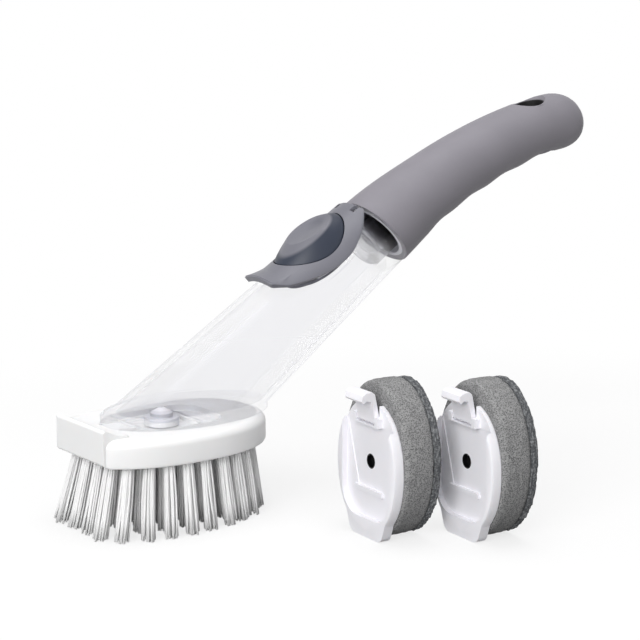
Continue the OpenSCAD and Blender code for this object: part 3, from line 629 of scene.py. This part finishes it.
@dataclass
class BrushHead:
    """The white head plate with its release tab and tufts of nylon."""

    shop: Workshop
    half_length: float = 40 * MM
    half_width: float = 28 * MM
    bristle_length: float = 26 * MM
    root_radius: float = 1.85 * MM
    tip_radius: float = 2.75 * MM
    lean: float = 8.0
    toe_lean: float = 12.0
    filament: float = 0.46 * MM
    strands: int = 30
    trim: float = 2.6 * MM
    outer_share: float = 0.7
    toe_reach: float = 1.4
    bite: float = 1.5 * MM
    scatter: float = 0.16
    bow: float = 0.25
    seed: int = 7

    def build(self) -> None:
        """Make and dress the brush head's pieces."""
        self.shop.skin("head_plate", "brush_plate", Finish.WHITE, "brush_head", "white_plastic", 32)
        self.shop.skin(
            "release_tab", "brush_tab", Finish.WHITE, "brush_release", "white_plastic", 32)
        self.shop.dress("tuft_anchors", Finish.STEEL)
        centre = self.centre()
        roots = self.roots()
        reach = [self.radius_share(root - centre) for root in roots]
        outer = [root for root, share in zip(roots, reach) if share > self.outer_share]
        inner = [root for root, share in zip(roots, reach) if share <= self.outer_share]
        rows = (("outer_bristles", "outer_tufts", outer), ("inner_bristles", "inner_tufts", inner))
        for name, node, places in rows:
            self.tufts(name, node, places, centre)

    def centre(self) -> Vector:
        """The soap hole, on the axis of the valve's ring."""
        low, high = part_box("valve_retainer")
        return Vector(((low.x + high.x) / 2, (low.y + high.y) / 2, 0))

    def roots(self) -> list[Vector]:
        """Middle of each tuft's wire anchor, one to a loose box of the anchors' node."""
        mesh = bmesh.new()
        mesh.from_mesh(frame["nodes"]["tuft_anchors"].data)
        bmesh.ops.remove_doubles(mesh, verts=mesh.verts, dist=WELD)
        left = set(mesh.verts)
        found = []
        while left:
            group = [left.pop()]
            for vert in group:
                near = {edge.other_vert(vert) for edge in vert.link_edges} & left
                left -= near
                group.extend(near)
            found.append(sum((vert.co for vert in group), Vector()) / len(group))
        mesh.free()
        places = (Vector((p.x, p.y, 0)) for p in found)
        return sorted(places, key=lambda p: (round(p.x, 5), round(p.y, 5)))

    def radius_share(self, place: Vector) -> float:
        """How far out on the oval a place from the soap hole lies, 1 at its edge."""
        return math.hypot(place.x / self.half_length, place.y / self.half_width)

    def lean_of(self, place: Vector) -> float:
        """Outward lean in radians of a tuft at a place from the soap hole."""
        toe = max(0.0, min(1.0, -self.toe_reach * place.x / self.half_length))
        return math.radians((self.lean + self.toe_lean * toe) * self.radius_share(place))

    def tufts(self, name: str, node: str, roots: list[Vector], centre: Vector) -> None:
        """Bundle filaments into the tufts of one node.

        Args:
            name: Piece name.
            node: CAD node that the bundles stand for.
            roots: Places of the tufts.
            centre: The soap hole.
        """
        rng = random.Random(self.seed + len(roots))
        mesh = bmesh.new()
        for root in roots:
            place = root - centre
            spread = self.bristle_length * math.tan(self.lean_of(place))
            tip = root + place.normalized() * spread
            for strand in range(self.strands):
                self.strand(mesh, rng, root, tip, strand)
        for face in mesh.faces:
            face.smooth = True
        piece = self.shop.mount(name, mesh, Finish.NYLON, "brush_head", "nylon")
        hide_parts(node)

    def strand(self, mesh: bmesh.types.BMesh, rng: random.Random, root: Vector, tip: Vector,
               index: int) -> None:
        """Add one filament: a tapered rod that bows a little between its root and its tip.

        Args:
            mesh: Mesh that takes the rod.
            rng: Source of the filament's own differences.
            root: Middle of the tuft at the plate.
            tip: Middle of the tuft at the floor.
            index: The filament's place in the sunflower pattern of the bundle.
        """
        ring = math.sqrt((index + 0.5) / self.strands)
        turn = index * math.pi * (3 - math.sqrt(5)) + rng.uniform(-0.3, 0.3)
        out = Vector((math.cos(turn), math.sin(turn), 0)) * ring
        top = root + out * self.root_radius + Vector((0, 0, self.bristle_length + self.bite))
        short = self.trim * rng.random() ** 2 * (0.5 + 0.5 * ring)
        stray = Vector((rng.gauss(0, self.scatter), rng.gauss(0, self.scatter), 0)) * MM
        low = tip + out * (self.tip_radius * rng.uniform(0.86, 1.0)) + stray + Vector((0, 0, short))
        span = low - top
        bow = Vector((rng.gauss(0, self.bow), rng.gauss(0, self.bow), 0)) * MM
        rod = bmesh.new()
        bmesh.ops.create_cone(
            rod, cap_ends=True, segments=5, radius1=self.filament * 0.85, radius2=self.filament,
            depth=span.length)
        sides = [edge for edge in rod.edges if abs(edge.verts[0].co.z - edge.verts[1].co.z) > MM]
        bmesh.ops.subdivide_edges(rod, edges=sides, cuts=3)
        aim = (-span).to_track_quat("Z", "Y").to_matrix()
        for vert in rod.verts:
            share = 0.5 - vert.co.z / span.length
            vert.co = (top + low) / 2 + aim @ vert.co + bow * math.sin(math.pi * share)
        data = bpy.data.meshes.new("strand")
        rod.to_mesh(data)
        rod.free()
        mesh.from_mesh(data)
        bpy.data.meshes.remove(data)


@dataclass
class SpareHead:
    """A spare head: a lavender-white plate on a foam block backed with scouring fibre."""

    shop: Workshop
    letter: str
    half_length: float = 28.2 * MM
    half_width: float = 20.6 * MM
    plate: float = 4.2 * MM
    foam: float = 11.8 * MM
    scour: float = 2.6 * MM
    shift: float = -0.8 * MM
    rim_start: float = 0.72
    rim_pull: float = 0.9 * MM
    belly: float = 0.25 * MM
    shrink: float = 0.3 * MM
    ragged: float = 0.45 * MM
    still_share: float = 0.05

    def build(self) -> None:
        """Make and dress the head's pieces."""
        mark = self.letter
        self.shop.skin(
            f"head_shell_{mark}", f"spare_plate_{mark}", Finish.SPARE, "wand", "spare_plastic", 32)
        self.shop.skin(
            f"catch_tab_{mark}", f"spare_tab_{mark}", Finish.SPARE, f"spare_release_{mark}",
            "spare_plastic", 32)
        self.foam_block()
        self.scour_layer()

    def axes(self) -> Matrix:
        """The head's own frame: z out of its pocket, x down to its heel, from the soap hole."""
        name = f"spare_coupling_{self.letter}"
        mount = next(m for m in frame["record"]["mounts"] if m["name"] == name)
        out = Vector(mount["axis"]).normalized()
        down = Vector((0, 0, -1))
        side = out.cross(down)
        turn = Matrix((down, side, out)).transposed().to_4x4()
        return Matrix.Translation(Vector(mount["pos_m"])) @ turn

    def slab(self, low: float, high: float, rows: int) -> bmesh.types.BMesh:
        """An oval slab cut into an even net of faces, in the head's own frame.

        Args:
            low: Height of its far face.
            high: Height of its near face.
            rows: Rows of faces between the two.

        Returns:
            The slab.
        """
        mesh = bmesh.new()
        bmesh.ops.create_circle(mesh, cap_ends=True, radius=1.0, segments=160)
        size = Vector((self.half_length, self.half_width, 1.0))
        bmesh.ops.scale(mesh, vec=size, verts=mesh.verts)
        bmesh.ops.translate(mesh, vec=(self.shift, 0, low), verts=mesh.verts)
        base = mesh.faces[:]
        raised = bmesh.ops.extrude_face_region(mesh, geom=base, use_keep_orig=True)
        top = [v for v in raised["geom"] if isinstance(v, bmesh.types.BMVert)]
        bmesh.ops.translate(mesh, vec=(0, 0, high - low), verts=top)
        bmesh.ops.recalc_face_normals(mesh, faces=mesh.faces)
        half = (high - low) / 2
        upright = [e for e in mesh.edges if abs(e.verts[0].co.z - e.verts[1].co.z) > half]
        bmesh.ops.subdivide_edges(mesh, edges=upright, cuts=rows - 1, use_grid_fill=True)
        for _ in range(9):
            caps = [f for f in mesh.faces if len(f.verts) > 4]
            bmesh.ops.inset_region(mesh, faces=caps, thickness=1.1 * MM, use_even_offset=True)
        return mesh

    def out_of_middle(self, place: Vector) -> tuple[Vector, float]:
        """Where a place lies from the oval's middle, and how far out, 1 at the oval's edge."""
        flat = Vector((place.x - self.shift, place.y, 0))
        return flat, math.hypot(flat.x / self.half_length, flat.y / self.half_width)

    def foam_block(self) -> None:
        """The foam: rounded rims, a soft belly and an uneven, open surface."""
        low = -self.plate - self.foam
        mesh = self.slab(low, -self.plate, 14)
        middle = (low - self.plate) / 2
        for vert in mesh.verts:
            flat, share = self.out_of_middle(vert.co)
            rim = abs(vert.co.z - middle) / (self.foam / 2)
            turned = max(0.0, rim - self.rim_start) ** 2 / (1 - self.rim_start) ** 2
            pull = self.rim_pull * turned * max(0.0, share - 0.8) / 0.2
            swell = self.belly * (1 - rim * rim) * share ** 4
            rough = noise.noise(vert.co * 420) * 0.16 * MM + noise.noise(vert.co * 1500) * 0.12 * MM
            if share > self.still_share:
                vert.co += flat.normalized() * (swell - pull - self.shrink * share + rough * share)
        self._close_piece(
            mesh, f"foam_block_{self.letter}", f"sponge_{self.letter}", Finish.FOAM, "foam")

    def scour_layer(self) -> None:
        """The scouring layer: a ragged edge and a coarse face."""
        high = -self.plate - self.foam
        mesh = self.slab(high - self.scour, high, 5)
        for vert in mesh.verts:
            flat, share = self.out_of_middle(vert.co)
            ragged = noise.noise(vert.co * 260) * 0.5 * MM + noise.noise(vert.co * 900) * 0.45 * MM
            if share > self.still_share:
                vert.co += flat.normalized() * (ragged - self.ragged) * share ** 3
            if vert.co.z < high - 0.3 * MM:
                vert.co.z += abs(noise.noise(vert.co * 700)) * 0.4 * MM
        self._close_piece(
            mesh, f"scour_layer_{self.letter}", f"scouring_pad_{self.letter}", Finish.SCOUR,
            "scouring_fibre")

    def _close_piece(self, mesh: bmesh.types.BMesh, name: str, node: str, finish: Finish,
                     slot: str) -> None:
        """Args:
            mesh: The layer in the head's own frame, which is freed.
            name: Piece name.
            node: Node it replaces.
            finish: Its finish.
            slot: Record slot of its finish; handed on to mount, which does not use it.
        """
        bmesh.ops.transform(mesh, matrix=self.axes(), verts=mesh.verts)
        for vert in mesh.verts:
            vert.co.z = max(vert.co.z, 0.0)
        for face in mesh.faces:
            face.smooth = True
        piece = self.shop.mount(name, mesh, finish, "wand", slot)
        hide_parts(node)


@dataclass(frozen=True)
class Camera:
    """The photograph's viewpoint, from the brush head's soap hole."""

    azimuth: float = -36.0
    elevation: float = 11.5
    eye: Vector = Vector((-407.46 * MM, -658.21 * MM, 229.65 * MM))
    focal_pixels: float = 2200.0
    frame_pixels: float = 640.0
    sensor: float = 36.0
    nearest: float = 50 * MM

    def place(self, hole: Vector) -> None:
        """Put the camera in the scene.

        Args:
            hole: The soap hole's place on the floor.
        """
        data = bpy.data.cameras.new("camera")
        data.sensor_width = self.sensor
        data.lens = self.focal_pixels / self.frame_pixels * self.sensor
        data.clip_start = self.nearest
        camera = bpy.data.objects.new("camera", data)
        bpy.context.scene.collection.objects.link(camera)
        camera.location = self.eye + hole
        camera.rotation_euler = (math.radians(90 - self.elevation), 0, math.radians(self.azimuth))
        bpy.context.scene.camera = camera


@dataclass(frozen=True)
class Softbox:
    """A square lamp that faces the object: its place, the length of its side and its watts."""

    name: str
    place: Vector
    size: float
    power: float
    aim: Vector = Vector((0, 0, 60 * MM))

    def hang(self) -> None:
        """Put the lamp in the scene."""
        data = bpy.data.lights.new(self.name, "AREA")
        data.size = self.size
        data.energy = self.power
        lamp = bpy.data.objects.new(self.name, data)
        bpy.context.scene.collection.objects.link(lamp)
        lamp.location = self.place
        lamp.rotation_euler = (self.place - self.aim).to_track_quat("Z", "Y").to_euler()


@dataclass(frozen=True)
class Studio:
    """A pale floor, three softboxes and a white world."""

    lamps: tuple[Softbox, ...] = (
        Softbox("key", Vector((-1.2, -0.75, 0.75)), 1.0, 15.0),
        Softbox("top", Vector((0.1, 0.1, 1.5)), 1.1, 11.0),
        Softbox("fill", Vector((-0.9, -0.7, 0.1)), 0.7, 4.0),
    )
    floor_size: float = 12.0
    floor_grey: float = 0.2
    shadow_share: float = 0.25
    shadow_reach: float = 0.3
    sky: float = 0.37
    overhead: Colour = (0.66, 0.66, 0.74)

    def build(self) -> None:
        """Make the stage and the lamps."""
        self.floor()
        self.world()
        for lamp in self.lamps:
            lamp.hang()
        bpy.context.scene.view_settings.view_transform = "Standard"

    def seen(self, graph: Graph) -> Wire:
        """1 for rays from the camera, a mirror or clear plastic, 0 for light on the object."""
        rays = graph.node("ShaderNodeLightPath").outputs
        total = Wire(graph, rays["Is Camera Ray"]) + Wire(graph, rays["Is Glossy Ray"])
        total = total + Wire(graph, rays["Is Transmission Ray"])
        return Wire(graph, graph.node("ShaderNodeClamp", {}, {"Value": total}).outputs[0])

    def floor(self) -> None:
        """A floor that looks white and keeps the object's soft shadow."""
        mesh = bmesh.new()
        bmesh.ops.create_grid(mesh, x_segments=1, y_segments=1, size=self.floor_size / 2)
        data = bpy.data.meshes.new("floor")
        mesh.to_mesh(data)
        mesh.free()
        floor = bpy.data.objects.new("floor", data)
        bpy.context.scene.collection.objects.link(floor)
        material = bpy.data.materials.new("floor")
        material.use_nodes = True
        graph = Graph(material.node_tree)
        seen = self.seen(graph)
        tone = graph.mix(seen, (self.floor_grey,) * 3, (0.95,) * 3)
        matt = graph.node("ShaderNodeBsdfDiffuse", {}, {"Color": tone})
        glow = graph.node("ShaderNodeEmission", {}, {"Color": opaque(WHITE), "Strength": 1.0})
        distance = graph.vector("LENGTH", graph.place())
        near = 1 - distance.step(self.shadow_reach * 0.6, self.shadow_reach)
        share = seen * (1 - near * self.shadow_share)
        sockets = {0: share, 1: matt.outputs[0], 2: glow.outputs[0]}
        graph.surface(graph.node("ShaderNodeMixShader", {}, sockets))
        data.materials.append(material)

    def world(self) -> None:
        """White where it is seen, darker overhead in clear plastic, and a plain grey light else."""
        world = bpy.data.worlds.new("studio")
        bpy.context.scene.world = world
        world.use_nodes = True
        graph = Graph(world.node_tree)
        rays = graph.node("ShaderNodeLightPath").outputs
        direction = graph.node("ShaderNodeTexCoord").outputs["Generated"]
        height = Wire(graph, graph.node("ShaderNodeSeparateXYZ", {}, {0: direction}).outputs[2])
        dim = graph.mix(height.step(0.35, 0.85), WHITE, self.overhead)
        bent = Wire(graph, rays["Is Transmission Ray"]) + Wire(graph, rays["Is Glossy Ray"])
        tone = graph.mix(self.seen(graph), (self.sky,) * 3, graph.mix(bent, WHITE, dim))
        shade = graph.node("ShaderNodeBackground", {}, {"Color": tone, "Strength": 1.0})
        graph.surface(shade, "ShaderNodeOutputWorld")


def main() -> None:
    """Build the stage, then each sub-assembly."""
    logging.basicConfig(level=logging.INFO, format="%(name)s: %(message)s")
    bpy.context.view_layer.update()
    shop = Workshop()
    brush = BrushHead(shop)
    Camera().place(brush.centre())
    Studio().build()
    Tank(shop).build()
    Handle(shop).build()
    Pump(shop).build()
    brush.build()
    for letter in "ab":
        SpareHead(shop, letter).build()


if __name__ == "__main__":
    main()
